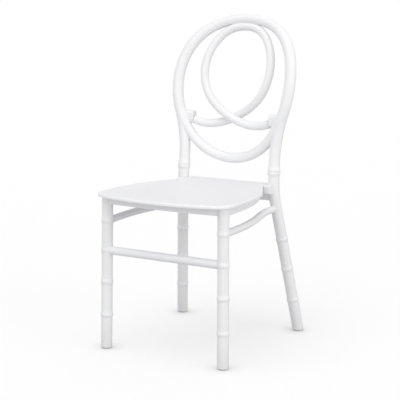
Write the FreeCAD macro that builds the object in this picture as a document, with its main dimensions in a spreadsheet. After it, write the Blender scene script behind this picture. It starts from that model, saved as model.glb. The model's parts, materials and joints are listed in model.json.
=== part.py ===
import FreeCAD, Part
import math
import os

import Sketcher
from FreeCAD import Matrix, Placement, Rotation, Vector

# Stacking dining chair with a balloon back, moulded in resin and bolted together at the seat frame.
# Millimetres. Z is up, the sitter faces -Y, X = 0 is the plane of symmetry, and the origin is on the floor
# under the middle of the chair's overall length.

SIZES = [
    ("seat_height", 441.5, "floor to the top of the seat"),
    ("seat_thick", 8.0, "depth of the seat panel's rim"),
    ("seat_skin", 4.0, "top wall of the seat panel"),
    ("seat_edge_round", 4.0, "rounding of the panel's upper edge"),
    ("seat_front", 269.5, "panel's front edge, ahead of the origin"),
    ("seat_front_radius", 620.0, "bow of the front edge"),
    ("seat_corner_radius", 60.0, "front corners of the panel"),
    ("seat_half_width", 211.5, "half of the panel at its widest"),
    ("seat_widest", 160.0, "widest place, ahead of the origin"),
    ("seat_side_radius", 622.0, "bow of the sides"),
    ("seat_waist", 0.0, "where the sides turn in, ahead of the origin"),
    ("seat_tail_half", 133.5, "half of the tail that passes between the posts"),
    ("seat_tail_start", 112.0, "where the tail becomes straight, behind the origin"),
    ("seat_back", 166.0, "panel's rear edge, behind the origin"),
    ("seat_tail_round", 9.0, "rear corners of the tail"),
    ("rib_pitch", 36.0, "spacing of the ribs under the panel"),
    ("rib_wall", 3.0, "thickness of those ribs"),
    ("rib_border", 8.0, "solid border round the ribbed field"),
    ("rail_height", 23.0, "height of the front and side seat rails"),
    ("rear_rail_height", 38.5, "height of the rear seat rail"),
    ("rail_thick", 20.0, "thickness of the four seat rails"),
    ("rail_round", 3.0, "rounding of the rails' lower edges"),
    ("rail_inset", 17.5, "side rail behind the panel's edge"),
    ("rail_turn", 42.0, "where the side rails turn in, behind the origin"),
    ("rail_end_x", 106.0, "outer face of a side rail at the rear rail, from the middle"),
    ("front_rail_turn", 5.0, "how far each end of the front rail turns back, degrees"),
    ("rail_peg_dia", 8.0, "round peg on each rail's end"),
    ("rail_peg_level", 5.0, "axis of the pegs above the rails' lower edges"),
    ("spigot_depth", 8.0, "how far a peg or tenon enters its leg"),
    ("fit_gap", 0.1, "clearance round a tenon or against a coped end"),
    ("front_foot_x", 187.0, "front leg at the floor, from the middle"),
    ("front_foot_y", 211.0, "front leg at the floor, ahead of the origin"),
    ("front_top_x", 182.2, "front leg under the seat, from the middle"),
    ("front_top_y", 203.3, "front leg under the seat, ahead of the origin"),
    ("front_leg_dia", 31.0, "front legs"),
    ("rear_foot_x", 200.0, "rear leg at the floor, from the middle"),
    ("rear_foot_y", 220.0, "rear leg at the floor, behind the origin"),
    ("rear_leg_dia", 32.0, "rear legs up to their posts' rings"),
    ("rear_bend_x", 158.1, "rear leg where its bend begins, from the middle"),
    ("rear_bend_y", 154.7, "rear leg where its bend begins, behind the origin"),
    ("rear_bend_drop", 81.5, "that place under the top of the seat"),
    ("post_x", 149.6, "post at its ring, from the middle"),
    ("post_y", 148.2, "post at its ring, behind the origin"),
    ("post_dia", 32.0, "post above its ring"),
    ("ring_low", 94.0, "lowest ring of every leg"),
    ("ring_mid", 188.5, "second ring"),
    ("ring_under_stretcher", 2.5, "third ring, under the front stretcher's axis"),
    ("ring_under_brace", 1.5, "fourth ring of the front legs, under the side brace's axis"),
    ("ring_post_rise", 33.5, "ring on each post, over the top of the seat"),
    ("ring_rise", 1.4, "how far a leg's ring stands out"),
    ("post_ring_out", 2.2, "how far a post's ring stands out"),
    ("ring_flare", 6.5, "length of a ring's slope"),
    ("ring_step", 1.2, "length of the step under a ring"),
    ("lug_front", 114.0, "front of the rear leg's seat lug, behind the origin"),
    ("lug_inner", 134.5, "inner side of the lug, from the middle"),
    ("lug_outer", 154.0, "outer side of the lug, from the middle"),
    ("lug_height", 24.5, "height of the lug, down from the seat's top"),
    ("lug_round", 3.0, "rounding of the lug's edges"),
    ("stretcher_height", 280.0, "axis of the front stretcher"),
    ("stretcher_dia", 23.0, "front stretcher"),
    ("stretcher_spigot_dia", 14.0, "its tenons"),
    ("brace_dia", 20.0, "side braces"),
    ("brace_spigot_dia", 13.0, "their tenons"),
    ("brace_front_drop", 80.0, "side brace at the front leg, under the top of the seat"),
    ("brace_rear_drop", 70.0, "side brace at the rear leg, under the top of the seat"),
    ("hoop_rise", 280.3, "centre of the hoop over the top of the seat"),
    ("hoop_y", 194.2, "centre of the hoop, behind the origin"),
    ("hoop_half_width", 186.7, "half of the hoop's centre line across"),
    ("hoop_half_height", 205.6, "half of the hoop's centre line up and down"),
    ("hoop_shoulder", 17.4, "how much its widest place is raised"),
    ("hoop_taper", 4.7, "fullness that the lower half gives to the upper"),
    ("hoop_square", 3.6, "fullness of the four diagonal places"),
    ("hoop_lean", 13.3, "lean of the hoop, degrees"),
    ("hoop_bow", 23.0, "top and bottom of the hoop behind its middle"),
    ("hoop_wrap", 23.2, "sides of the hoop ahead of its middle"),
    ("hoop_dia", 32.4, "hoop tube at its sides"),
    ("hoop_low_dia", 29.0, "hoop tube below the bosses"),
    ("hoop_crown_dia", 30.0, "hoop tube at its top"),
    ("boss_end", 125.0, "inner end of a hoop boss, from the middle"),
    ("boss_height", 37.0, "hoop boss, up and down"),
    ("boss_depth", 26.0, "hoop boss, front to back"),
    ("boss_drop", 101.8, "centre of the hoop bosses under that of the hoop"),
    ("loop_dia", 24.0, "loop tube"),
    ("loop_gap", 0.6, "daylight where the loop crosses itself"),
    ("loop_setback", 2.0, "loop behind the hoop's own surface"),
    ("loop_spigot_dia", 14.0, "tenons on the loop's ends"),
    ("glide_dia", 27.0, "foot glide"),
    ("glide_height", 4.0, "foot glide under the leg"),
    ("glide_stem_dia", 9.0, "stem of the glide"),
    ("glide_stem_length", 16.0, "stem of the glide"),
    ("block_reach", 46.0, "corner block along each rail"),
    ("block_height", 17.0, "corner block"),
    ("bolt_dia", 6.0, "hanger bolt through the corner block"),
    ("bolt_length", 50.0, "hanger bolt"),
    ("bolt_bite", 12.0, "hanger bolt inside the leg"),
    ("bolt_drop", 6.5, "axis of the hanger bolts under the seat panel"),
    ("nut_across", 10.0, "hexagon nut across its flats"),
    ("nut_height", 5.0, "hexagon nut"),
    ("washer_dia", 12.0, "washer under the nut"),
    ("washer_thick", 1.6, "washer under the nut"),
    ("screw_dia", 4.0, "seat screws"),
    ("screw_head_dia", 8.0, "their heads"),
    ("screw_head_thick", 2.4, "their heads"),
    ("seat_screw_length", 22.0, "seat screws, up through the corner blocks"),
    ("pin_dia", 6.0, "steel pins in the back"),
    ("pin_length", 30.0, "steel pins in the back"),
    ("dowel_dia", 10.0, "dowel between post and hoop"),
    ("dowel_length", 44.0, "dowel between post and hoop"),
]

# Centre line of half the loop, from its top down one side, through the crossing and out to its end in the
# far boss: across from the middle, up from the hoop's centre.
LOOP_HALF = [
    (0.0, 161.5), (50.0, 150.5), (87.0, 114.0), (106.0, 63.0), (105.5, 18.0), (88.0, -29.0),
    (54.0, -65.5), (0.0, -99.0), (-38.0, -114.0), (-75.0, -119.5), (-112.0, -114.5),
]
LOOP_CROSSING = 7

# Plan of the side braces: out from the straight line between the two legs, at shares of its length.
BRACE_SWAY = [
    (0.0, 0.0), (0.17, 7.0), (0.30, 10.5), (0.45, 9.0),
    (0.62, 1.0), (0.75, -6.0), (0.86, -8.0), (1.0, 0.0),
]

UP = Vector(0, 0, 1)
FORWARD = Vector(0, -1, 0)
FAR = 200.0  # past the end of any piece that a cutter has to clear
SIDES = {"left": -1, "right": 1}

doc = FreeCAD.newDocument("BalloonBackChair")
sheet = doc.addObject("Spreadsheet::Sheet", "Sizes")
for row, (alias, value, note) in enumerate(SIZES, start=1):
    sheet.set(f"A{row}", note)
    sheet.set(f"B{row}", str(value))
    sheet.setAlias(f"B{row}", alias)
doc.recompute()

nodes = {}


def size(alias):
    """A driving size from the sheet."""
    return float(sheet.get(alias))


def keep(name, item):
    """Name a finished sub-part after its node."""
    item.Label = name
    nodes[name] = item
    return item


def solid_feature(name, shape, at=None):
    """A sub-part whose shape is worked out here from the sheet's sizes."""
    item = doc.addObject("Part::Feature", name)
    item.Shape = shape
    if at:
        item.Placement = at
    return item


def primitive(kind, name, at=None, **formulas):
    """A primitive whose sizes are bound to the sheet."""
    item = doc.addObject("Part::" + kind, name)
    for field, formula in formulas.items():
        item.setExpression(field, formula)
    item.Placement = at or Placement()
    return item


def cut_away(name, base, tools):
    """Base less all the tools."""
    tool = tools[0]
    if len(tools) > 1:
        tool = doc.addObject("Part::MultiFuse", name + "_tools")
        tool.Shapes = tools
    item = doc.addObject("Part::Cut", name)
    item.Base = base
    item.Tool = tool
    return item


def along(start, direction):
    """Placement that carries +Z to a direction."""
    return Placement(start, Rotation(UP, direction))


def rod(start, direction, diameter, length):
    """Plain cylinder from a point along a direction."""
    return Part.makeCylinder(diameter / 2, length, start, direction)


def ring_section(centre, tangent, radius, reference):
    """Circle square to a tangent, its seam turned towards a reference, so that lofts don't twist."""
    z_axis = Vector(tangent).normalize()
    x_axis = (reference - z_axis * reference.dot(z_axis)).normalize()
    y_axis = z_axis.cross(x_axis)
    frame = Matrix(
        x_axis.x, y_axis.x, z_axis.x, centre.x,
        x_axis.y, y_axis.y, z_axis.y, centre.y,
        x_axis.z, y_axis.z, z_axis.z, centre.z,
        0, 0, 0, 1,
    )
    circle = Part.Wire([Part.makeCircle(radius)])
    circle.Placement = Placement(frame)
    return circle


def tube(stations, reference):
    """Short tapered tube through (centre, tangent, radius) stations."""
    rings = [ring_section(*station, reference) for station in stations]
    return Part.makeLoft(rings, True, True)


def arc_between(start, way, end):
    """Arc that leaves a point in a direction and ends at another point."""
    chord = end - start
    normal = way.cross(chord)
    if normal.Length < 1e-6 * chord.Length:
        return Part.LineSegment(start, end)
    inward = normal.cross(way).normalize()
    centre = start + inward * (chord.dot(chord) / (2 * chord.dot(inward)))
    return arc_about(centre, start, end)


def arcs_through(points, ways):
    """Smooth chain of arcs, two for each span, through points with given directions."""
    chain = []
    for start, end, leave, reach in zip(points, points[1:], ways, ways[1:]):
        leave, reach = Vector(leave).normalize(), Vector(reach).normalize()
        span = end - start
        square = 2 * (1 - leave.dot(reach))
        linear = 2 * span.dot(leave + reach)
        if square < 1e-9:
            arm = span.dot(span) / linear
        else:
            arm = (math.sqrt(linear ** 2 + 4 * square * span.dot(span)) - linear) / (2 * square)
        first, second = start + leave * arm, end - reach * arm
        joint = (first + second) * 0.5
        chain += [arc_between(start, leave, joint), arc_between(joint, (second - first).normalize(), end)]
    return chain


def pipe(points, ways, radius):
    """Round bar of one radius along a smooth chain of arcs."""
    spine = Part.Wire([arc.toShape() for arc in arcs_through(points, ways)])
    ring = Part.Wire([Part.makeCircle(radius, points[0], ways[0])])
    return spine.makePipeShell([ring], True, True, 1)


def pipe_on(curve, shares, radius):
    """Round bar on a curve, its arcs meeting at shares of the curve's length."""
    first, last = curve.FirstParameter, curve.LastParameter
    places = [first + (last - first) * share for share in shares]
    return pipe([curve.value(u) for u in places], [curve.tangent(u)[0] for u in places], radius)


def evenly(count):
    """Shares of a length for a number of equal spans."""
    return [i / count for i in range(count + 1)]


def smooth_line(points, start=None, end=None):
    """Curve through points, with end directions if they are given."""
    curve = Part.BSplineCurve()
    if start and end:
        curve.interpolate(Points=points, InitialTangent=start, FinalTangent=end)
    else:
        curve.interpolate(Points=points)
    return curve


def mirrored(shape):
    """The other side's shape."""
    return shape.mirror(Vector(0, 0, 0), Vector(1, 0, 0))


def by_side(shape, side):
    """A right-hand shape, or its mirror image for the left."""
    return shape if side > 0 else mirrored(shape)


# Levels and lines that several pieces share.

SEAT_TOP = size("seat_height")
SEAT_UNDER = SEAT_TOP - size("seat_thick")
RAIL_UNDER = SEAT_UNDER - size("rail_height")
PEG_LEVEL = RAIL_UNDER + size("rail_peg_level")
GAP = size("fit_gap")

FRONT_FOOT = Vector(size("front_foot_x"), -size("front_foot_y"), 0)
FRONT_TOP = Vector(size("front_top_x"), -size("front_top_y"), SEAT_UNDER)
REAR_FOOT = Vector(size("rear_foot_x"), size("rear_foot_y"), 0)
REAR_BEND = Vector(size("rear_bend_x"), size("rear_bend_y"), SEAT_TOP - size("rear_bend_drop"))
POST_RING = Vector(size("post_x"), size("post_y"), SEAT_TOP + size("ring_post_rise"))
HOOP_HEIGHT = SEAT_TOP + size("hoop_rise")
BOSS_LEVEL = HOOP_HEIGHT - size("boss_drop")
BRACE_FRONT = SEAT_TOP - size("brace_front_drop")
BRACE_REAR = SEAT_TOP - size("brace_rear_drop")
LOW_RINGS = [size("ring_low"), size("ring_mid"), size("stretcher_height") - size("ring_under_stretcher")]


def front_leg_at(height):
    """Axis of the right front leg."""
    return FRONT_FOOT + (FRONT_TOP - FRONT_FOOT) * (height / SEAT_UNDER)


def hoop_point(degrees):
    """Centre line of the hoop: an egg with its widest place raised, laid on a leaning, doubly bowed surface."""
    turn = math.radians(degrees)
    across = (
        size("hoop_half_width") * math.cos(turn)
        - size("hoop_taper") * math.sin(2 * turn)
        - size("hoop_square") * math.cos(3 * turn)
    )
    rise = size("hoop_half_height") * math.sin(turn) + size("hoop_shoulder") * math.cos(2 * turn)
    return back_surface(across, rise)


def back_surface(across, rise, behind=0.0):
    """Point of the back's surface: across from the middle, up along the lean from the hoop's centre."""
    lean = math.radians(size("hoop_lean"))
    bow = size("hoop_bow") * (rise / size("hoop_half_height")) ** 2
    wrap = size("hoop_wrap") * (across / size("hoop_half_width")) ** 2
    depth = size("hoop_y") + rise * math.sin(lean) + bow - wrap + behind
    return Vector(across, depth, HOOP_HEIGHT + rise * math.cos(lean))


def hoop_tangent(degrees):
    """Direction of the hoop's centre line."""
    return hoop_point(degrees + 0.5) - hoop_point(degrees - 0.5)


# Places on the hoop, in degrees: the post runs out into its side, and its lower part and crown are slimmer.
HOOP_MEETS_POST = -28.0
HOOP_SWALLOWS_POST = -12.0
HOOP_LOW_ENDS = -50.0
HOOP_HIGH_STARTS = -34.0
HOOP_CROWN_STARTS = 34.0
HOOP_CROWN_ENDS = 58.0


def post_line():
    """Rear leg's centre line from its bend up into the hoop's side."""
    meet = hoop_point(HOOP_MEETS_POST)
    low = POST_RING + Vector(1.6, -1.7, -49)
    high = POST_RING + Vector(0.6, 5.6, 62)
    points = [REAR_BEND, low, POST_RING, high, meet, hoop_point(HOOP_SWALLOWS_POST)]
    start_way = (REAR_BEND - REAR_FOOT).normalize()
    end_way = hoop_tangent(HOOP_SWALLOWS_POST).normalize()
    return smooth_line(points, start_way, end_way)


POST = post_line()


def post_at(height):
    """Point and direction of the rear leg's bent part at a height."""
    low, high = POST.FirstParameter, POST.LastParameter
    for _ in range(40):
        middle = (low + high) / 2
        if POST.value(middle).z < height:
            low = middle
        else:
            high = middle
    return POST.value(low), POST.tangent(low)[0]


def rear_leg_at(height):
    """Axis of the right rear leg below or above its bend."""
    if height <= REAR_BEND.z:
        return REAR_FOOT + (REAR_BEND - REAR_FOOT) * (height / REAR_BEND.z)
    return post_at(height)[0]


# Legs. A leg is made a little too long and squared off under the seat.

LEG_SPARE = 10.0

def ringed_profile(length, diameter, rings):
    """Half profile of a straight leg with a flared ring and a short step at each node, as (radius, height)."""
    radius = diameter / 2
    points = [(0, 0), (radius, 0)]
    for ring in rings:
        low, high = ring - size("ring_step"), ring + size("ring_flare")
        points += [(radius, low), (radius + size("ring_rise"), ring), (radius, high)]
    return points + [(radius, length), (0, length)]


def turned_body(name, profile):
    """PartDesign body turned about Z from a closed half profile given as (radius, height)."""
    points = [Vector(radius, height, 0) for radius, height in profile]
    body = doc.addObject("PartDesign::Body", name)
    sketch = body.newObject("Sketcher::SketchObject", name + "_profile")
    plane = next(f for f in body.Origin.OriginFeatures if f.Role == "XZ_Plane")
    sketch.AttachmentSupport = (plane, [""])
    sketch.MapMode = "FlatFace"
    corners = points + [points[0]]
    lines = [Part.LineSegment(a, b) for a, b in zip(corners, corners[1:])]
    sketch.addGeometry(lines, False)
    for i in range(len(lines)):
        sketch.addConstraint(Sketcher.Constraint("Coincident", i, 2, (i + 1) % len(lines), 1))
    turned = body.newObject("PartDesign::Revolution", name + "_turned")
    turned.Profile = sketch
    turned.ReferenceAxis = (sketch, ["V_Axis"])
    turned.Angle = 360
    return body


def turned_shape(profile):
    """Solid turned about Z from a closed half profile given as (radius, height)."""
    corners = [Vector(radius, 0, height) for radius, height in profile]
    return Part.Face(Part.makePolygon(corners + [corners[0]])).revolve(Vector(0, 0, 0), UP, 360)


def floor_trim(top):
    """Slab from the top of the glides to a height, which squares both ends of a leaning leg."""
    reach = 700
    low = size("glide_height")
    return Part.makeBox(reach, reach, top - low, Vector(-reach / 2, -reach / 2, low))


def glide_bore(place):
    """Bore for a glide's stem."""
    depth = size("glide_stem_length") + GAP
    return rod(Vector(place.x, place.y, size("glide_height")), UP, size("glide_stem_dia") + 2 * GAP, depth)


def front_leg_envelope(extra):
    """Plain right front leg, carried on a little above, for coping the ends that meet it."""
    axis = FRONT_TOP - FRONT_FOOT
    return rod(FRONT_FOOT, axis, size("front_leg_dia") + 2 * extra, axis.Length + LEG_SPARE)


def rear_leg_envelope(extra):
    """Plain right rear leg up to its post's ring, for coping the ends that meet it."""
    axis = REAR_BEND - REAR_FOOT
    return rod(REAR_FOOT, axis, size("rear_leg_dia") + 2 * extra, axis.Length).fuse(post_below(extra))


def share_at(height):
    """Share of the bent part's length at a height."""
    place = POST.parameter(post_at(height)[0])
    return (place - POST.FirstParameter) / (POST.LastParameter - POST.FirstParameter)


def post_below(extra):
    """Bent part of the right rear leg from its bend to its ring."""
    top = share_at(POST_RING.z)
    return pipe_on(POST, [share * top for share in evenly(2)], size("rear_leg_dia") / 2 + extra)


def post_above():
    """Bent part of the right post from its ring up into the hoop."""
    low = share_at(POST_RING.z)
    return pipe_on(POST, [low + (1 - low) * share for share in evenly(3)], size("post_dia") / 2)


def tenon_end(leg_axis, inward, leg_dia):
    """Point on a leg's axis side where a tenon of the usual depth ends."""
    return leg_axis + inward * (leg_dia / 2 - size("spigot_depth"))


def socket(leg_axis, inward, leg_dia, alias):
    """Socket in a leg for a tenon whose diameter has a name, with its clearance."""
    start = tenon_end(leg_axis, inward, leg_dia) - inward * GAP
    return rod(start, inward, size(alias) + 2 * GAP, leg_dia)


def brace_points():
    """Centre line of the right side brace, bowed out over its front half and in over its rear."""
    start = front_leg_at(BRACE_FRONT)
    end = rear_leg_at(BRACE_REAR)
    run = end - start
    out = Vector(run.y, -run.x, 0).normalize()
    return [start + run * share + out * sway for share, sway in BRACE_SWAY]


BRACE = smooth_line(brace_points())


def brace_bar(extra):
    """Right side brace between the two legs' axes, grown by a clearance."""
    return pipe_on(BRACE, evenly(6), size("brace_dia") / 2 + extra)


def front_rail_y():
    """Front rail's axis, in line with the front legs' axes."""
    return front_leg_at(PEG_LEVEL).y


def rear_rail_y():
    """Rear rail's axis, in line with the rear legs' axes."""
    return rear_leg_at(PEG_LEVEL).y


def side_x(y):
    """Outer face of the right side rail ahead of the seat's waist, in line with the seat's edge."""
    centre = size("seat_half_width") - size("seat_side_radius")
    radius = size("seat_side_radius") - size("rail_inset")
    return centre + math.sqrt(radius ** 2 - (y + size("seat_widest")) ** 2)


def rail_turn_point():
    """Outer face of the right side rail where it leaves the line of the seat's edge."""
    return Vector(side_x(size("rail_turn")), size("rail_turn"), 0)


def side_rail_points():
    """Outer and inner plan lines of the right side rail, from the front leg to the rear rail's front face."""
    front = front_leg_at(PEG_LEVEL)
    widest = -size("seat_widest")
    halfway = (size("rail_turn") + widest) / 2
    outer = [
        Vector(front.x + size("front_leg_dia") / 2 - 3.5, front.y, 0),
        Vector(side_x(widest), widest, 0),
        Vector(side_x(halfway), halfway, 0),
        rail_turn_point(),
        Vector(size("rail_end_x"), rear_rail_y() - size("rail_thick") / 2 - GAP, 0),
    ]
    inner = [point - Vector(size("rail_thick"), 0, 0) for point in outer]
    return outer, inner


def outside_of(line, shift):
    """Tall prism on the outer side of a plan line of the right side rail, moved out by a shift."""
    line = [point + Vector(shift, 0, 0) for point in line]
    far_end, far_start = [point + Vector(FAR, 0, 0) for point in (line[-1], line[0])]
    edges = [arc.toShape() for arc in plan_arcs(line)]
    edges += [Part.makeLine(a, b) for a, b in [(line[-1], far_end), (far_end, far_start), (far_start, line[0])]]
    face = Part.Face(Part.Wire(edges))
    face.translate(Vector(0, 0, SEAT_UNDER - FAR / 2))
    return face.extrude(Vector(0, 0, FAR))


def rear_peg(extra):
    """Peg on the right side rail's rear end, square to the rear rail, or its socket with a clearance."""
    outer, inner = side_rail_points()
    middle = (outer[-1] + inner[-1]) * 0.5
    start = Vector(middle.x, middle.y - 6, PEG_LEVEL)
    way = Vector(0, 1, 0)
    return rod(start - way * extra, way, size("rail_peg_dia") + 2 * extra, 6 + size("spigot_depth") + 2 * extra)


def build_front_leg(name, side):
    """Front leg: turned, squared at both ends, with sockets for the rails, stretcher, brace and glide."""
    axis = FRONT_TOP - FRONT_FOOT
    rings = LOW_RINGS + [BRACE_FRONT - size("ring_under_brace")]
    body = turned_body(name + "_turning", ringed_profile(axis.Length + LEG_SPARE, size("front_leg_dia"), rings))
    foot = Vector(FRONT_FOOT.x * side, FRONT_FOOT.y, 0)
    body.Placement = along(foot, Vector(axis.x * side, axis.y, axis.z))
    slab = solid_feature(name + "_ends", floor_trim(SEAT_UNDER))
    trimmed = doc.addObject("Part::Common", name + "_trimmed")
    trimmed.Base = body
    trimmed.Tool = slab
    rail = front_leg_at(PEG_LEVEL)
    stretcher = front_leg_at(size("stretcher_height"))
    leg_dia = size("front_leg_dia")
    inward = Vector(-1, 0, 0)
    rearward = side_rail_direction()
    brace_way = BRACE.tangent(BRACE.FirstParameter)[0]
    tools = [
        socket(rail, inward, leg_dia, "rail_peg_dia"),
        socket(stretcher, inward, leg_dia, "stretcher_spigot_dia"),
        socket(rail, rearward, leg_dia, "rail_peg_dia"),
        socket(BRACE.value(BRACE.FirstParameter), brace_way, leg_dia, "brace_spigot_dia"),
        glide_bore(front_leg_at(size("glide_height"))),
        bolt_bore("front"),
        brace_bar(GAP).cut(front_leg_envelope(GAP / 2)),
        rod(Vector(0, stretcher.y, stretcher.z), Vector(1, 0, 0), size("stretcher_dia") + 2 * GAP, stretcher.x)
        .cut(front_leg_envelope(GAP / 2)),
    ]
    sockets = solid_feature(name + "_sockets", by_side(Part.makeCompound(tools), side))
    return keep(name, cut_away(name, trimmed, [sockets]))


def side_rail_direction():
    """Way the right side rail leaves the front leg."""
    outer, _ = side_rail_points()
    curve = smooth_line(outer)
    return curve.tangent(curve.FirstParameter)[0]


def lug_shape():
    """Lug on the right rear leg: a block beside the seat's tail, and a tongue under the seat to the side rail."""
    low = size("seat_height") - size("lug_height")
    front, inner = size("lug_front"), size("lug_inner")
    depth = post_at(size("seat_height"))[0].y - front
    block = Part.makeBox(size("lug_outer") - inner, depth, size("lug_height"), Vector(inner, front, low))
    fronts = [e for e in block.Edges if abs(e.CenterOfMass.y - front) < 1e-6]
    block = block.makeFillet(size("lug_round"), fronts)
    outer, _ = side_rail_points()
    reach = inner - outer[-1].x + size("lug_round") + 1
    start = Vector(outer[-1].x, front + size("lug_round"), low)
    tongue = Part.makeBox(reach, outer[-1].y - start.y, SEAT_UNDER - GAP - low, start)
    return block.fuse(tongue.common(outside_of(outer, GAP)))


def build_rear_leg(name, side):
    """Rear leg and post: a turned lower part, a bent upper part, a ring above the seat and a lug at the seat."""
    axis = REAR_BEND - REAR_FOOT
    rings = [ring * axis.Length / REAR_BEND.z for ring in LOW_RINGS]
    lower = turned_shape(ringed_profile(axis.Length, size("rear_leg_dia"), rings))
    lower.Placement = along(REAR_FOOT, axis)
    centre, way = post_at(POST_RING.z)
    shaft = size("post_dia") / 2
    step, rise, flare = size("ring_step"), size("post_ring_out"), size("ring_flare")
    sunk = shaft - 1
    collar = turned_shape([
        (0, -2 * step), (sunk, -2 * step), (shaft + rise / 2, -step), (shaft + rise, 0),
        (sunk, flare + step), (0, flare + step),
    ])
    collar.Placement = along(centre, way)
    leg = lower.fuse([post_below(0), post_above(), collar, lug_shape()]).common(floor_trim(1000))
    rail = rear_leg_at(PEG_LEVEL)
    leg_dia = size("rear_leg_dia")
    inward = Vector(-1, 0, 0)
    brace_way = BRACE.tangent(BRACE.LastParameter)[0] * -1
    tools = [
        hoop_tube(GAP),
        socket(rail, inward, leg_dia, "rail_peg_dia"),
        socket(BRACE.value(BRACE.LastParameter), brace_way, leg_dia, "brace_spigot_dia"),
        glide_bore(rear_leg_at(size("glide_height"))),
        dowel_shape(GAP),
        bolt_bore("rear"),
    ]
    leg = leg.cut(tools)
    solids = sorted(leg.Solids, key=lambda s: s.Volume)
    return keep(name, solid_feature(name, by_side(solids[-1], side)))


def hoop_stretch(turns, radius):
    """Part of the right half of the hoop, through places given in degrees."""
    return pipe([hoop_point(t) for t in turns], [hoop_tangent(t) for t in turns], radius)


def hoop_taper(first, last, start, end):
    """Part of the right half of the hoop between two places in degrees, tapered between two radii."""
    turns = [first + (last - first) * share for share in evenly(4)]
    radii = [start + (end - start) * share for share in evenly(4)]
    return tube([(hoop_point(t), hoop_tangent(t), radius) for t, radius in zip(turns, radii)], FORWARD)


def hoop_tube(extra):
    """Hoop tube alone, grown by a clearance: slim below, full at the sides and slimmer again over the crown."""
    slim, full, crown = [size(alias) / 2 + extra for alias in ("hoop_low_dia", "hoop_dia", "hoop_crown_dia")]
    half = hoop_stretch([-90, -70, HOOP_LOW_ENDS], slim).fuse([
        hoop_taper(HOOP_LOW_ENDS, HOOP_HIGH_STARTS, slim, full),
        hoop_stretch([HOOP_HIGH_STARTS, -10, 12, HOOP_CROWN_STARTS], full),
        hoop_taper(HOOP_CROWN_STARTS, HOOP_CROWN_ENDS, full, crown),
        hoop_stretch([HOOP_CROWN_ENDS, 90], crown),
    ])
    return half.fuse(mirrored(half))


def dowel_shape(extra):
    """Right-hand dowel, driven up through the post's coped end into the hoop's side."""
    centre, _ = post_at(hoop_point(HOOP_MEETS_POST).z - 52)
    target = hoop_point(HOOP_MEETS_POST)
    way = (target - centre).normalize()
    start = centre - way * 8
    return rod(start - way * extra, way, size("dowel_dia") + 2 * extra, size("dowel_length") + 2 * extra)


def build_hoop():
    """Back hoop with a boss on each side that takes the loop's ends."""
    hoop = hoop_tube(0)
    level = BOSS_LEVEL
    side = hoop_point(HOOP_HIGH_STARTS - 4)
    depth, height = size("boss_depth"), size("boss_height")
    length = side.x + 6 - size("boss_end")
    surface = loop_place(size("boss_end"), -size("boss_drop"))
    corner = Vector(size("boss_end"), surface.y - depth / 2, level - height / 2)
    boss = Part.makeBox(length, depth, height, corner)
    long_edges = [e for e in boss.Edges if abs(e.BoundBox.XLength - length) < 1e-6]
    boss = boss.makeFillet(depth * 0.4, long_edges)
    ends = [e for e in boss.Edges if abs(e.BoundBox.XMax - size("boss_end")) < 1e-6]
    boss = boss.makeFillet(3, ends)
    hoop = hoop.fuse([boss, mirrored(boss)])
    tools = [dowel_shape(GAP), mirrored(dowel_shape(GAP))]
    tools += [loop_end_socket(sign) for sign in (-1, 1)]
    tools += [pin.copy() for pin in pin_shapes(GAP)]
    return keep("back_hoop", solid_feature("back_hoop", hoop.cut(tools)))


# Loop.


def loop_place(across, height, behind=0.0):
    """Point of the loop's surface at a place given from the middle and from the hoop's centre."""
    lean = math.radians(size("hoop_lean"))
    rise = height / math.cos(lean)
    return back_surface(across, rise, size("loop_setback") + behind)


def lap_share(index):
    """How much of the crossing's offset a knot takes."""
    return {LOOP_CROSSING: 1.0, LOOP_CROSSING - 1: 0.62, LOOP_CROSSING + 1: 0.7,
            LOOP_CROSSING - 2: 0.12, LOOP_CROSSING + 2: 0.2}.get(index, 0.0)


def loop_curve():
    """Whole centre line, from the right boss round to the left one; one strand passes ahead of the other."""
    lap = (size("loop_dia") + size("loop_gap")) / 2
    first = [
        loop_place(-x, z, -lap * lap_share(i)) for i, (x, z) in enumerate(LOOP_HALF)
    ]
    second = [
        loop_place(x, z, lap * lap_share(i)) for i, (x, z) in enumerate(LOOP_HALF)
    ]
    return smooth_line(list(reversed(first)) + second[1:])


LOOP = loop_curve()


def loop_end(sign):
    """Point and outward direction of the loop's right (1) or left (-1) end."""
    if sign > 0:
        return LOOP.value(LOOP.FirstParameter), LOOP.tangent(LOOP.FirstParameter)[0] * -1
    return LOOP.value(LOOP.LastParameter), LOOP.tangent(LOOP.LastParameter)[0]


def loop_end_socket(sign):
    """Socket in a boss for one end of the loop."""
    place, way = loop_end(sign)
    shoulder = rod(place - way * 2, way, size("loop_dia") + 2 * GAP, 14)
    spigot = rod(place, way, size("loop_spigot_dia") + 2 * GAP, 12 + size("spigot_depth") + GAP)
    return shoulder.fuse(spigot)


def pin_shapes(extra):
    """Three steel pins: one at the top of the loop and one across each end."""
    top = loop_place(0, LOOP_HALF[0][1])
    crown = hoop_point(90)
    way = (crown - top).normalize()
    across = size("pin_dia") + 2 * extra
    length = size("pin_length") + 2 * extra
    pins = [rod((top + crown) * 0.5 - way * length / 2, way, across, length)]
    for sign in (1, -1):
        place, outward = loop_end(sign)
        centre = place + outward * 17
        low = centre - UP * (size("boss_height") / 2 - 2 + extra) - UP * (centre.z - BOSS_LEVEL)
        pins.append(rod(low, UP, across, size("pin_length") + 2 * extra))
    return pins


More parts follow.
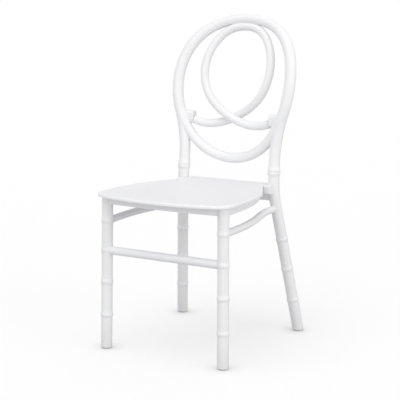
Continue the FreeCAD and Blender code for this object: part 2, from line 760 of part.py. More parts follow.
def build_loop():
    """Interlaced loop inside the hoop, one tube from boss to boss, coped where its top lies in the hoop."""
    bar = pipe_on(LOOP, evenly(2 * len(LOOP_HALF) - 4), size("loop_dia") / 2)
    pieces = []
    for sign in (1, -1):
        place, way = loop_end(sign)
        pieces.append(rod(place, way, size("loop_dia"), 12))
        pieces.append(rod(place + way * 12, way, size("loop_spigot_dia"), size("spigot_depth")))
    loop = bar.fuse(pieces).cut([hoop_tube(GAP)] + pin_shapes(GAP))
    solids = sorted(loop.Solids, key=lambda s: s.Volume)
    return keep("back_loop", solid_feature("back_loop", solids[-1]))


# Seat panel.


def circles_meet(c1, r1, c2, r2, pick):
    """Where two circles cross, the place that scores highest."""
    gap = c2 - c1
    reach = gap.Length
    run = (r1 ** 2 - r2 ** 2 + reach ** 2) / (2 * reach)
    half = math.sqrt(max(r1 ** 2 - run ** 2, 0))
    base = c1 + gap * (run / reach)
    square = Vector(-gap.y, gap.x, 0) * (half / reach)
    return max((base + square, base - square), key=pick)


def arc_about(centre, start, end):
    """Short arc between two points about a centre."""
    radius = (start - centre).Length
    middle = ((start + end) * 0.5 - centre).normalize() * radius + centre
    return Part.Arc(start, middle, end)


def rounded(points, radii):
    """Lines through points with tangent arcs at the inner ones."""
    pieces = []
    here = points[0]
    for before, corner, after, radius in zip(points, points[1:], points[2:], radii):
        back, ahead = (before - corner).normalize(), (after - corner).normalize()
        half = back.getAngle(ahead) / 2
        reach = radius / math.tan(half)
        centre = corner + (back + ahead).normalize() * (radius / math.sin(half))
        start, end = corner + back * reach, corner + ahead * reach
        pieces += [Part.LineSegment(here, start), arc_about(centre, start, end)]
        here = end
    return pieces + [Part.LineSegment(here, points[-1])]


def seat_half_outline():
    """Right half of the panel's plan, from the middle of the front edge to the middle of the rear edge."""
    front_radius, corner, side = size("seat_front_radius"), size("seat_corner_radius"), size("seat_side_radius")
    front_centre = Vector(0, front_radius - size("seat_front"), 0)
    side_centre = Vector(size("seat_half_width") - side, -size("seat_widest"), 0)
    corner_centre = circles_meet(
        front_centre, front_radius - corner, side_centre, side - corner, lambda p: p.x - p.y
    )
    leave_front = front_centre + (corner_centre - front_centre).normalize() * front_radius
    reach_side = side_centre + (corner_centre - side_centre).normalize() * side
    waist_rise = size("seat_widest") - size("seat_waist")
    waist = side_centre + Vector(math.sqrt(side ** 2 - waist_rise ** 2), waist_rise, 0)
    tail, back = size("seat_tail_half"), size("seat_back")
    pieces = [
        arc_about(front_centre, Vector(0, -size("seat_front"), 0), leave_front),
        arc_about(corner_centre, leave_front, reach_side),
        arc_about(side_centre, reach_side, waist),
    ]
    corners = [waist, Vector(tail, size("seat_tail_start"), 0), Vector(tail, back, 0), Vector(0, back, 0)]
    return pieces + rounded(corners, [20, size("seat_tail_round")])


def flipped(piece):
    """Mirror image of a plan line across the middle, run the other way."""
    ends = [Vector(-p.x, p.y, 0) for p in (piece.EndPoint, piece.StartPoint)]
    if isinstance(piece, Part.LineSegment):
        return Part.LineSegment(*ends)
    middle = piece.value((piece.FirstParameter + piece.LastParameter) / 2)
    return Part.Arc(ends[0], Vector(-middle.x, middle.y, 0), ends[1])


def half_width_at(y, inset):
    """Half width of the ribbed field at a place along the seat, clear of the rim."""
    side = size("seat_side_radius")
    if y < -size("seat_waist"):
        wide = size("seat_half_width") - side + math.sqrt(side ** 2 - (y + size("seat_widest")) ** 2)
    else:
        waist_half = half_width_at(-size("seat_waist") - 0.01, 0)
        run = size("seat_tail_start") + size("seat_waist")
        share = min((y + size("seat_waist")) / run, 1.0)
        wide = waist_half + (size("seat_tail_half") - waist_half) * share
    return wide - inset


def seat_screw_places():
    """Right-hand seat screws, one through each corner block."""
    return [screw_place("front"), screw_place("rear")]


def rib_cells():
    """Rectangles between the ribs, left out near the rim, the legs and the screws."""
    pitch, wall, border = size("rib_pitch"), size("rib_wall"), size("rib_border")
    cells = []
    rows = int((size("seat_front") + size("seat_back")) / pitch)
    first = -size("seat_front") + (size("seat_front") + size("seat_back") - rows * pitch) / 2
    for row in range(rows):
        low, high = first + row * pitch + wall / 2, first + (row + 1) * pitch - wall / 2
        for column in range(-7, 7):
            left, right = column * pitch + wall / 2, (column + 1) * pitch - wall / 2
            widest = max(abs(left), abs(right))
            ends = min(half_width_at(low, border), half_width_at(high, border))
            bow = widest ** 2 / (2 * size("seat_front_radius"))
            nose = low > -size("seat_front") + bow + border
            corner_clear = widest + abs(min(low, 0)) < size("seat_half_width") + size("seat_front") - 62
            tail = high < size("seat_back") - border
            middle = Vector((left + right) / 2, (low + high) / 2, 0)
            clear = all((Vector(abs(middle.x), middle.y, 0) - place).Length > 26 for place in seat_screw_places())
            if widest < ends and nose and corner_clear and tail and clear:
                cells.append((left, low, right, high))
    return cells


def build_seat():
    """Seat panel: a bowed plan with rounded edge, a ribbed underside and pilot holes for its screws."""
    body = doc.addObject("PartDesign::Body", "seat_panel_body")
    plane = next(f for f in body.Origin.OriginFeatures if f.Role == "XY_Plane")
    outline = body.newObject("Sketcher::SketchObject", "seat_outline")
    outline.AttachmentSupport = (plane, [""])
    outline.MapMode = "FlatFace"
    outline.setExpression("AttachmentOffset.Base.z", "Sizes.seat_height - Sizes.seat_thick")
    half = seat_half_outline()
    outline.addGeometry(half + [flipped(piece) for piece in reversed(half)], False)
    pad = body.newObject("PartDesign::Pad", "seat_pad")
    pad.Profile = outline
    pad.setExpression("Length", "Sizes.seat_thick")
    doc.recompute()
    top = size("seat_height")
    upper = [
        f"Edge{i}" for i, edge in enumerate(pad.Shape.Edges, start=1)
        if abs(edge.BoundBox.ZMin - top) < 1e-4 and abs(edge.BoundBox.ZMax - top) < 1e-4
    ]
    rounding = body.newObject("PartDesign::Fillet", "seat_rounding")
    rounding.Base = (pad, upper)
    rounding.setExpression("Radius", "Sizes.seat_edge_round")
    doc.recompute()
    ribs = body.newObject("Sketcher::SketchObject", "rib_cells")
    ribs.AttachmentSupport = (plane, [""])
    ribs.MapMode = "FlatFace"
    ribs.setExpression("AttachmentOffset.Base.z", "Sizes.seat_height - Sizes.seat_thick")
    for left, low, right, high in rib_cells():
        corners = [Vector(left, low, 0), Vector(right, low, 0), Vector(right, high, 0), Vector(left, high, 0)]
        ribs.addGeometry([Part.LineSegment(a, b) for a, b in zip(corners, corners[1:] + corners[:1])], False)
    solid = rounding.Shape.Volume
    pocket = body.newObject("PartDesign::Pocket", "rib_pocket")
    pocket.Profile = ribs
    pocket.setExpression("Length", "Sizes.seat_thick - Sizes.seat_skin")
    pocket.Reversed = True
    doc.recompute()
    if pocket.Shape.Volume > solid * 0.95:
        raise RuntimeError("the rib pockets cut nothing")
    across, deep = size("screw_dia") + 2 * GAP, seat_screw_bite() + GAP
    holes = [rod(Vector(place.x, place.y, SEAT_UNDER), UP, across, deep) for place in seat_screw_places()]
    both_sides = [by_side(hole, side) for hole in holes for side in (1, -1)]
    drill = solid_feature("seat_pilot_holes", Part.makeCompound(both_sides))
    return keep("seat_panel", cut_away("seat_panel", body, [drill]))


# Rails, braces and stretcher.


def padded_body(name, geometry, height, edge_round):
    """PartDesign body padded from a plan up to the seat's underside, with its lower long edges rounded."""
    body = doc.addObject("PartDesign::Body", name)
    sketch = body.newObject("Sketcher::SketchObject", name + "_plan")
    plane = next(f for f in body.Origin.OriginFeatures if f.Role == "XY_Plane")
    sketch.AttachmentSupport = (plane, [""])
    sketch.MapMode = "FlatFace"
    sketch.setExpression("AttachmentOffset.Base.z", "Sizes.seat_height - Sizes.seat_thick - " + height)
    sketch.addGeometry(geometry, False)
    pad = body.newObject("PartDesign::Pad", name + "_pad")
    pad.Profile = sketch
    pad.setExpression("Length", height)
    doc.recompute()
    level = pad.Shape.BoundBox.ZMin
    lower = [
        f"Edge{i}" for i, edge in enumerate(pad.Shape.Edges, start=1)
        if edge.BoundBox.ZMax - level < 1e-4 and edge.Length > 1.1 * size("rail_thick")
    ]
    rounding = body.newObject("PartDesign::Fillet", name + "_rounding")
    rounding.Base = (pad, lower)
    rounding.setExpression("Radius", edge_round)
    doc.recompute()
    return body


def rail_side(axis_point, offset, turn):
    """One side of a cross rail in plan, left to right: straight, or an arc with straight ends that turn back."""
    reach, y = axis_point.x, axis_point.y + offset
    ends = [Vector(-reach, y, 0), Vector(reach, y, 0)]
    if turn == 0:
        return [Part.LineSegment(*ends)]
    angle = math.radians(turn)
    half = reach - size("block_reach")
    knee_y = y - size("block_reach") * math.tan(angle)
    knees = [Vector(-half, knee_y, 0), Vector(half, knee_y, 0)]
    crown = Vector(0, knee_y - half * math.tan(angle / 2), 0)
    return [
        Part.LineSegment(ends[0], knees[0]),
        Part.Arc(knees[0], crown, knees[1]),
        Part.LineSegment(knees[1], ends[1]),
    ]


def ahead_of_front_rail():
    """Tall prism ahead of the front rail's inner face."""
    inner = rail_side(front_leg_at(PEG_LEVEL), size("rail_thick") / 2, size("front_rail_turn"))
    left, right = inner[0].StartPoint, inner[-1].EndPoint
    ahead = FORWARD * FAR
    corners = [right, right + ahead, left + ahead, left]
    lines = [Part.makeLine(a, b) for a, b in zip(corners, corners[1:])]
    face = Part.Face(Part.Wire([piece.toShape() for piece in inner] + lines))
    face.translate(Vector(0, 0, SEAT_UNDER - FAR / 2))
    return face.extrude(Vector(0, 0, FAR))


def plan_arcs(points):
    """Arcs through the points of a rail's side, with the directions of a smooth line through them."""
    line = smooth_line(points)
    return arcs_through(points, [line.tangent(line.parameter(point))[0] for point in points])


def build_cross_rail(name, axis_point, envelope, leg_dia, turn, height):
    """Front or rear rail: coped to the two legs and clear of their bolts, with a round peg in each."""
    half = size("rail_thick") / 2
    front, rear = [rail_side(axis_point, offset, turn) for offset in (-half, half)]
    ends = [
        Part.LineSegment(front[-1].EndPoint, rear[-1].EndPoint),
        Part.LineSegment(rear[0].StartPoint, front[0].StartPoint),
    ]
    bar = padded_body(name + "_bar", front + rear + ends, height, "Sizes.rail_round")
    start, way = bolt_axis(name.split("_")[0])
    near_leg = envelope.fuse(rod(start, way, size("bolt_dia") + 1, size("bolt_length")))
    cope = solid_feature(name + "_cope", Part.makeCompound([near_leg, mirrored(near_leg)]))
    coped = cut_away(name + "_coped", bar, [cope])
    tip = axis_point.x - leg_dia / 2 + size("spigot_depth")
    start = Vector(tip, axis_point.y, PEG_LEVEL)
    tenon = rod(start, Vector(-1, 0, 0), size("rail_peg_dia"), size("spigot_depth") + 20)
    tenons = solid_feature(name + "_tenons", Part.makeCompound([tenon, mirrored(tenon)]))
    whole = doc.addObject("Part::MultiFuse", name)
    whole.Shapes = [coped, tenons]
    return keep(name, whole)


def build_side_rail(name, side):
    """Side rail: bowed like the seat's edge, coped to the front leg, turned in and pegged to the rear rail."""
    outer, inner = side_rail_points()
    if side < 0:
        outer = [Vector(-p.x, p.y, 0) for p in outer]
        inner = [Vector(-p.x, p.y, 0) for p in inner]
    outer_side, inner_side = plan_arcs(outer), plan_arcs(inner)
    plan = outer_side + inner_side + [
        Part.LineSegment(outer[-1], inner[-1]), Part.LineSegment(inner[0], outer[0]),
    ]
    bar = padded_body(name + "_bar", plan, "Sizes.rail_height", "Sizes.rail_round")
    bolt_start, bolt_way = bolt_axis("rear")
    bolt_hole = rod(bolt_start, bolt_way, size("bolt_dia") + 1, size("bolt_length"))
    cope = solid_feature(
        name + "_cope", by_side(Part.makeCompound([front_leg_envelope(GAP), bolt_hole]), side)
    )
    coped = cut_away(name + "_coped", bar, [cope])
    way = side_rail_direction()
    start = tenon_end(front_leg_at(PEG_LEVEL), way, size("front_leg_dia"))
    front_tenon = rod(start, way, size("rail_peg_dia"), size("spigot_depth") + 8)
    tenons = solid_feature(name + "_tenons", by_side(Part.makeCompound([front_tenon, rear_peg(0)]), side))
    whole = doc.addObject("Part::MultiFuse", name)
    whole.Shapes = [coped, tenons]
    return keep(name, whole)


def build_brace(name, side):
    """Side brace: a round bar bowed out then in, coped to both legs, with a tenon at each end."""
    coped = brace_bar(0).cut([front_leg_envelope(GAP), rear_leg_envelope(GAP)])
    body = max(coped.Solids, key=lambda s: s.Volume)
    start, start_way = BRACE.value(BRACE.FirstParameter), BRACE.tangent(BRACE.FirstParameter)[0]
    end, end_way = BRACE.value(BRACE.LastParameter), BRACE.tangent(BRACE.LastParameter)[0] * -1
    length = size("spigot_depth") + 10
    tenons = [
        rod(tenon_end(start, start_way, size("front_leg_dia")), start_way, size("brace_spigot_dia"), length),
        rod(tenon_end(end, end_way, size("rear_leg_dia")), end_way, size("brace_spigot_dia"), length),
    ]
    return keep(name, solid_feature(name, by_side(body.fuse(tenons), side)))


def build_stretcher():
    """Front stretcher: a straight round bar, coped to the front legs, with a tenon at each end."""
    axis = front_leg_at(size("stretcher_height"))
    bar = primitive(
        "Cylinder", "front_stretcher_bar", along(Vector(-axis.x, axis.y, axis.z), Vector(1, 0, 0)),
        Radius="Sizes.stretcher_dia / 2",
    )
    bar.Height = 2 * axis.x
    envelope = front_leg_envelope(GAP)
    cope = solid_feature("front_stretcher_cope", Part.makeCompound([envelope, mirrored(envelope)]))
    coped = cut_away("front_stretcher_coped", bar, [cope])
    tip = axis.x - size("front_leg_dia") / 2 + size("spigot_depth")
    tenons = primitive(
        "Cylinder", "front_stretcher_tenons", along(Vector(-tip, axis.y, axis.z), Vector(1, 0, 0)),
        Radius="Sizes.stretcher_spigot_dia / 2",
    )
    tenons.Height = 2 * tip
    whole = doc.addObject("Part::MultiFuse", "front_stretcher")
    whole.Shapes = [coped, tenons]
    return keep("front_stretcher", whole)


# Corner blocks, bolts and screws.


def block_frame(end):
    """Right-hand corner where two rails meet, and the diagonal into the seat frame."""
    half = size("rail_thick") / 2
    if end == "front":
        axis = front_leg_at(PEG_LEVEL)
        return axis, Vector(-1, 1, 0).normalize(), front_rail_y() + half, 1
    axis = Vector(size("rail_end_x") + 6, rear_rail_y(), PEG_LEVEL)
    return axis, Vector(-1, -1, 0).normalize(), rear_rail_y() - half, -1


def screw_place(end):
    """Right-hand seat screw in plan: beside the bolt, along the side rail in front and the cross rail behind."""
    axis, _, rail_face, sense = block_frame(end)
    reach = size("front_leg_dia") / 2 + size("block_reach") - 12
    beside = size("screw_head_dia") + 2
    if end == "front":
        return Vector(side_x(axis.y + reach) - size("rail_thick") - beside, axis.y + reach, 0)
    return Vector(axis.x - reach, rail_face + sense * beside, 0)


def block_level():
    """Underside of the corner blocks, whose tops carry the seat."""
    return SEAT_UNDER - size("block_height")


def bolt_axis(end):
    """Start and direction of a right-hand hanger bolt, from the front leg or the rear leg's tongue."""
    axis, way, _, _ = block_frame(end)
    if end == "front":
        face = axis + way * (size("front_leg_dia") / 2)
    else:
        corner = side_rail_points()[0][-1]
        face = corner + (rail_turn_point() - corner).normalize() * 18
    return Vector(face.x, face.y, SEAT_UNDER - size("bolt_drop")) - way * size("bolt_bite"), way


def bolt_bore(end):
    """Bore in a leg for its hanger bolt."""
    start, way = bolt_axis(end)
    return rod(start - way * GAP, way, size("bolt_dia") + 2 * GAP, size("bolt_bite") + 12)


def block_shape(end):
    """Right-hand corner block: fills the corner between two rails, clear of the leg, with its bolt bore."""
    axis, way, rail_face, sense = block_frame(end)
    reach = size("block_reach")
    outer_x = axis.x + 30 if end == "front" else size("rail_end_x")
    inner_x = axis.x - size("front_leg_dia") / 2 - reach
    far_y = axis.y + sense * (size("front_leg_dia") / 2 + reach)
    start_y = rail_face - size("rail_thick") if end == "front" else rail_face
    plan = [
        Vector(inner_x, start_y, 0), Vector(outer_x, start_y, 0), Vector(outer_x, far_y, 0),
        Vector(axis.x - size("front_leg_dia") / 2, far_y, 0), Vector(inner_x, rail_face + sense * 14, 0),
    ]
    face = Part.Face(Part.makePolygon(plan + [plan[0]]))
    face.translate(Vector(0, 0, block_level()))
    block = face.extrude(Vector(0, 0, size("block_height")))
    _, inner = side_rail_points()
    blocker = [outside_of(inner, 0)]
    if end == "front":
        blocker += [front_leg_envelope(GAP), ahead_of_front_rail()]
    else:
        blocker += [rear_peg(GAP)]
    start, bolt_way = bolt_axis(end)
    bore = rod(start, bolt_way, size("bolt_dia") + 1, FAR)
    seat_face = washer_seat(end)
    beyond_seat = rod(seat_face, bolt_way, size("washer_dia") + 2, FAR)
    centre = screw_place(end)
    screw = screw_shape(Vector(centre.x, centre.y, block_level()), UP, FAR, 2 * GAP)
    block = block.cut(blocker + [bore, beyond_seat, screw])
    return max(block.Solids, key=lambda s: s.Volume)


def washer_seat(end):
    """Centre of the flat that a washer bears on."""
    start, way = bolt_axis(end)
    return start + way * (size("bolt_bite") + 25)


def screw_shape(start, way, length, extra=0.0):
    """Countersunk screw driven from its head along a direction, or its hole with a clearance."""
    head, shank = size("screw_head_dia") / 2 + extra, size("screw_dia") / 2 + extra
    top = Part.makeCone(head, shank, size("screw_head_thick"), start, way)
    return top.fuse(rod(start, way, 2 * shank, length))


def seat_screw_bite():
    """How far a seat screw enters the panel."""
    return size("seat_screw_length") - size("block_height")


def build_hardware():
    """Hanger bolts, their washers and nuts, and the screws, each kind as one group of separate solids."""
    bolts, washers, nuts, seat_screws = [], [], [], []
    for end in ("front", "rear"):
        for side in (1, -1):
            start, way = bolt_axis(end)
            seat_face = washer_seat(end)
            bolts.append(by_side(rod(start, way, size("bolt_dia"), size("bolt_length")), side))
            ring = rod(seat_face, way, size("washer_dia"), size("washer_thick"))
            ring = ring.cut(rod(seat_face - way, way, size("bolt_dia") + 2 * GAP, 10))
            washers.append(by_side(ring, side))
            nuts.append(by_side(nut_shape(seat_face + way * size("washer_thick"), way), side))
            centre = screw_place(end)
            low = Vector(centre.x, centre.y, block_level())
            seat_screws.append(by_side(screw_shape(low, UP, size("seat_screw_length")), side))
    groups = {
        "leg_bolts": bolts, "leg_washers": washers, "leg_nuts": nuts, "seat_screws": seat_screws,
    }
    for name, shapes in groups.items():
        keep(name, solid_feature(name, Part.makeCompound(shapes)))


def nut_shape(place, way):
    """Hexagon nut with its bore, facing along a direction."""
    corner = size("nut_across") / math.sqrt(3)
    points = [Vector(corner * math.cos(math.radians(60 * i)), corner * math.sin(math.radians(60 * i)), 0)
              for i in range(6)]
    nut = Part.Face(Part.makePolygon(points + [points[0]])).extrude(Vector(0, 0, size("nut_height")))
    nut = nut.cut(Part.makeCylinder(size("bolt_dia") / 2 + GAP, 20, Vector(0, 0, -5)))
    nut.Placement = along(place, way)
    return nut


def build_glides():
    """Four foot glides: chamfered discs that stand on the floor, each with a stem pressed into its leg."""
    disc, stem = size("glide_dia") / 2, size("glide_stem_dia") / 2
    height, top = size("glide_height"), size("glide_height") + size("glide_stem_length")
    edge = 1.5
    profile = [(0, 0), (disc - edge, 0), (disc, edge), (disc, height), (stem, height), (stem, top), (0, top)]
    glides = []
    for place in (front_leg_at(height), rear_leg_at(height)):
        for side in SIDES.values():
            glide = turned_shape(profile)
            glide.translate(Vector(place.x * side, place.y, 0))
            glides.append(glide)
    keep("foot_glides", solid_feature("foot_glides", Part.makeCompound(glides)))


def build_all():
    """Every sub-part, in the order of assembly."""
    for word, side in SIDES.items():
        build_front_leg(f"front_leg_{word}", side)
        build_rear_leg(f"rear_leg_{word}", side)
        build_side_rail(f"side_rail_{word}", side)
        build_brace(f"side_brace_{word}", side)
        for end in ("front", "rear"):
            name = f"corner_block_{end}_{word}"
            keep(name, solid_feature(name, by_side(block_shape(end), side)))
    build_cross_rail(
        "front_rail", front_leg_at(PEG_LEVEL), front_leg_envelope(GAP), size("front_leg_dia"),
        size("front_rail_turn"), "Sizes.rail_height",
    )
    build_cross_rail(
        "rear_rail", rear_leg_at(PEG_LEVEL), rear_rail_cope(), size("rear_leg_dia"), 0, "Sizes.rear_rail_height",
    )
    build_stretcher()
    build_seat()
    build_hoop()
    build_loop()
    build_hardware()
    build_glides()
    dowel = dowel_shape(0)
    keep("post_dowels", solid_feature("post_dowels", Part.makeCompound([dowel, mirrored(dowel)])))
    keep("loop_pins", solid_feature("loop_pins", Part.makeCompound(pin_shapes(0))))


def rear_rail_cope():
    """Right rear leg, its lug and the side rail's peg, for coping the rear rail."""
    low = size("seat_height") - size("lug_height") - GAP
    width = size("lug_outer") - size("lug_inner") + GAP
    depth = post_at(size("seat_height"))[0].y - size("lug_front") + GAP
    lug = Part.makeBox(width, depth, 60, Vector(size("lug_inner") - GAP, size("lug_front") - GAP, low))
    return rear_leg_envelope(GAP).fuse([lug, rear_peg(GAP)])


def check_all():
    """Stop if any object failed or any sub-part isn't sound."""
    for item in doc.Objects:
        bad = [word for word in item.State if word in ("Invalid", "Error")]
        if bad:
            raise RuntimeError(f"{item.Label} is {bad}")
    for name, item in nodes.items():
        if item.Shape.isNull() or not item.Shape.isValid() or not item.Shape.Solids:
            raise RuntimeError(f"{name} is not a valid solid")


def export_all():
    """Write each sub-part to its own file."""
    os.makedirs("parts", exist_ok=True)
    for name, item in nodes.items():
        item.Shape.exportStep(f"parts/{name}.step")


build_all()
doc.recompute()
check_all()
export_all()
whole = Part.makeCompound([item.Shape for item in nodes.values()])
box = whole.BoundBox
print("nodes", len(nodes))
print("box", [round(v, 1) for v in (box.XMin, box.XMax, box.YMin, box.YMax, box.ZMin, box.ZMax)])
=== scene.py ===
"""Looks for a white moulded resin dining chair with a hoop back and an interlaced loop.

The CAD nodes are the chair. This script dresses them in satin resin, nylon, zinc and beech, adds the soft
beads of the moulded rings and the small fillets where bars run into legs, and sets a pale floor, soft
studio lights and the camera.
"""

import json
import logging
import math
from dataclasses import dataclass, field
from enum import Enum

import bpy
import numpy as np
from mathutils import Matrix, Vector


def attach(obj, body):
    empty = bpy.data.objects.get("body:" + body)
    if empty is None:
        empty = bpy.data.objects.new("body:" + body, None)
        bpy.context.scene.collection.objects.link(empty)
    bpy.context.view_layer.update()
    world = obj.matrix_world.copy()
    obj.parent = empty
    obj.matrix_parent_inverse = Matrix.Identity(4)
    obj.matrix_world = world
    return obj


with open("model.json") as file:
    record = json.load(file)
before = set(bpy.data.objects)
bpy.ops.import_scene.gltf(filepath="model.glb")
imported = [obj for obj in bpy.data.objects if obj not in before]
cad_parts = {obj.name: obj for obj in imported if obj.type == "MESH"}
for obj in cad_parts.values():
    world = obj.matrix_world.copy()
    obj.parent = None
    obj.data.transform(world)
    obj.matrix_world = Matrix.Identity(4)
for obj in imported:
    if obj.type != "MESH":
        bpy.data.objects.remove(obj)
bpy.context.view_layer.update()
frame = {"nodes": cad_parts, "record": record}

log = logging.getLogger("chair")
BODY = "root"
MM = 0.001
HANDS = ((1, "right"), (-1, "left"))

# Angles in degrees past which an edge stays sharp, on the nodes and on the smooth moulded details.
NODE_CORNER = 30.0
DETAIL_CORNER = 60.0

# Values that every finish shares.
RESIN_IOR = 1.49
COAT_ROUGHNESS = 0.25
SCATTER_COLOURS = (1.0, 0.9, 0.8)
SCATTER_DEPTH = 0.003
DUST_COLOUR = (0.55, 0.53, 0.50, 1.0)
SCUFF_ROUGHNESS = 0.25
RIPPLE_HEIGHT = 0.002
GRAIN_HEIGHT = 0.0002


class Finish(Enum):
    """The chair's finishes, named after the record's material slots."""

    RESIN = "resin"
    BLOCK = "block"
    STEEL = "steel"
    GLIDE = "glide"
    DOWEL = "dowel"


# Shared shader effects.


class Graph:
    """Short helper round one node tree, so that materials read as lists of effects."""

    def __init__(self, tree: bpy.types.NodeTree) -> None:
        """Keeps the tree that nodes are added to.

        Args:
            tree: a material's or a group's node tree.
        """
        self.tree = tree

    def add(self, kind: str, **settings: object) -> bpy.types.Node:
        """Adds a node and sets its plain properties.

        Args:
            kind: the node's type name.
            **settings: properties to set on it.

        Returns:
            The new node.
        """
        node = self.tree.nodes.new(kind)
        for name, value in settings.items():
            setattr(node, name, value)
        return node

    def link(self, source: bpy.types.NodeSocket, target: bpy.types.NodeSocket) -> None:
        """Joins an output socket to an input socket."""
        self.tree.links.new(source, target)

    def noise(self, place: bpy.types.NodeSocket, scale: float, detail: float = 2.0) -> bpy.types.NodeSocket:
        """Noise of a scale, in cycles per metre.

        Args:
            place: coordinates to read.
            scale: cycles per metre.
            detail: number of finer layers.

        Returns:
            The noise value, from 0 to 1.
        """
        node = self.add("ShaderNodeTexNoise")
        node.inputs["Scale"].default_value = scale
        node.inputs["Detail"].default_value = detail
        self.link(place, node.inputs["Vector"])
        return node.outputs["Fac"]

    def spread(self, value: bpy.types.NodeSocket, low: float, high: float) -> bpy.types.NodeSocket:
        """Stretches a value so that low to high becomes 0 to 1, clamped.

        Args:
            value: the value to stretch.
            low: what becomes 0.
            high: what becomes 1.

        Returns:
            The stretched value.
        """
        node = self.add("ShaderNodeMapRange", clamp=True)
        node.inputs["From Min"].default_value = low
        node.inputs["From Max"].default_value = high
        self.link(value, node.inputs["Value"])
        return node.outputs["Result"]

    def between(self, value: bpy.types.NodeSocket, low: float, high: float) -> bpy.types.NodeSocket:
        """Turns a value from 0 to 1 into one from low to high.

        Args:
            value: the value to turn.
            low: what 0 becomes.
            high: what 1 becomes.

        Returns:
            The new value.
        """
        node = self.add("ShaderNodeMapRange", clamp=True)
        node.inputs["To Min"].default_value = low
        node.inputs["To Max"].default_value = high
        self.link(value, node.inputs["Value"])
        return node.outputs["Result"]


class SurfaceEffects:
    """Node groups that more than one finish uses, each built once."""

    _built: dict[str, bpy.types.NodeTree] = {}

    @classmethod
    def moulded_skin(cls) -> bpy.types.NodeTree:
        """Faint cloudiness, fine grain and soft ripple of a moulded surface.

        Returns:
            A group with inputs Cloud Size and Grain Size, and outputs Cloud, Grain and Ripple, from 0 to 1.
        """
        if "skin" in cls._built:
            return cls._built["skin"]
        tree = bpy.data.node_groups.new("moulded_skin", "ShaderNodeTree")
        for name, default in (("Cloud Size", 9.0), ("Grain Size", 900.0)):
            socket = tree.interface.new_socket(name, in_out="INPUT", socket_type="NodeSocketFloat")
            socket.default_value = default
        for name in ("Cloud", "Grain", "Ripple"):
            tree.interface.new_socket(name, in_out="OUTPUT", socket_type="NodeSocketFloat")
        graph = Graph(tree)
        inputs, outputs = graph.add("NodeGroupInput"), graph.add("NodeGroupOutput")
        place = graph.add("ShaderNodeTexCoord").outputs["Object"]
        for source, target, detail in (("Cloud Size", "Cloud", 3.0), ("Grain Size", "Grain", 2.0)):
            node = graph.add("ShaderNodeTexNoise")
            node.inputs["Detail"].default_value = detail
            graph.link(place, node.inputs["Vector"])
            graph.link(inputs.outputs[source], node.inputs["Scale"])
            graph.link(node.outputs["Fac"], outputs.inputs[target])
        graph.link(graph.noise(place, 28.0, 1.0), outputs.inputs["Ripple"])
        cls._built["skin"] = tree
        return tree

    @classmethod
    def use_marks(cls) -> bpy.types.NodeTree:
        """Hairline scuffs and the dust that gathers low down.

        Returns:
            A group with input Amount and outputs Scuffs and Dust, from 0 to 1.
        """
        if "marks" in cls._built:
            return cls._built["marks"]
        tree = bpy.data.node_groups.new("use_marks", "ShaderNodeTree")
        socket = tree.interface.new_socket("Amount", in_out="INPUT", socket_type="NodeSocketFloat")
        socket.default_value = 0.5
        for name in ("Scuffs", "Dust"):
            tree.interface.new_socket(name, in_out="OUTPUT", socket_type="NodeSocketFloat")
        graph = Graph(tree)
        inputs, outputs = graph.add("NodeGroupInput"), graph.add("NodeGroupOutput")
        place = graph.add("ShaderNodeTexCoord").outputs["Object"]
        stretch = graph.add("ShaderNodeMapping")
        stretch.inputs["Scale"].default_value = (1.0, 0.08, 0.3)
        stretch.inputs["Rotation"].default_value = (0.3, 0.2, 0.7)
        graph.link(place, stretch.inputs["Vector"])
        scratch = graph.spread(graph.noise(stretch.outputs["Vector"], 420.0, 4.0), 0.66, 0.74)
        patch = graph.spread(graph.noise(place, 14.0, 2.0), 0.5, 0.7)
        scuffs = graph.add("ShaderNodeMath", operation="MULTIPLY")
        graph.link(scratch, scuffs.inputs[0])
        graph.link(patch, scuffs.inputs[1])
        parts = graph.add("ShaderNodeSeparateXYZ")
        graph.link(place, parts.inputs["Vector"])
        low = graph.add("ShaderNodeMapRange", clamp=True)
        for name, value in (("From Min", 0.0), ("From Max", 0.09), ("To Min", 1.0), ("To Max", 0.0)):
            low.inputs[name].default_value = value
        graph.link(parts.outputs["Z"], low.inputs["Value"])
        speck = graph.add("ShaderNodeMath", operation="MULTIPLY")
        graph.link(low.outputs["Result"], speck.inputs[0])
        graph.link(graph.noise(place, 60.0, 5.0), speck.inputs[1])
        for value, name in ((scuffs.outputs[0], "Scuffs"), (speck.outputs[0], "Dust")):
            scaled = graph.add("ShaderNodeMath", operation="MULTIPLY")
            graph.link(value, scaled.inputs[0])
            graph.link(inputs.outputs["Amount"], scaled.inputs[1])
            graph.link(scaled.outputs[0], outputs.inputs[name])
        cls._built["marks"] = tree
        return tree


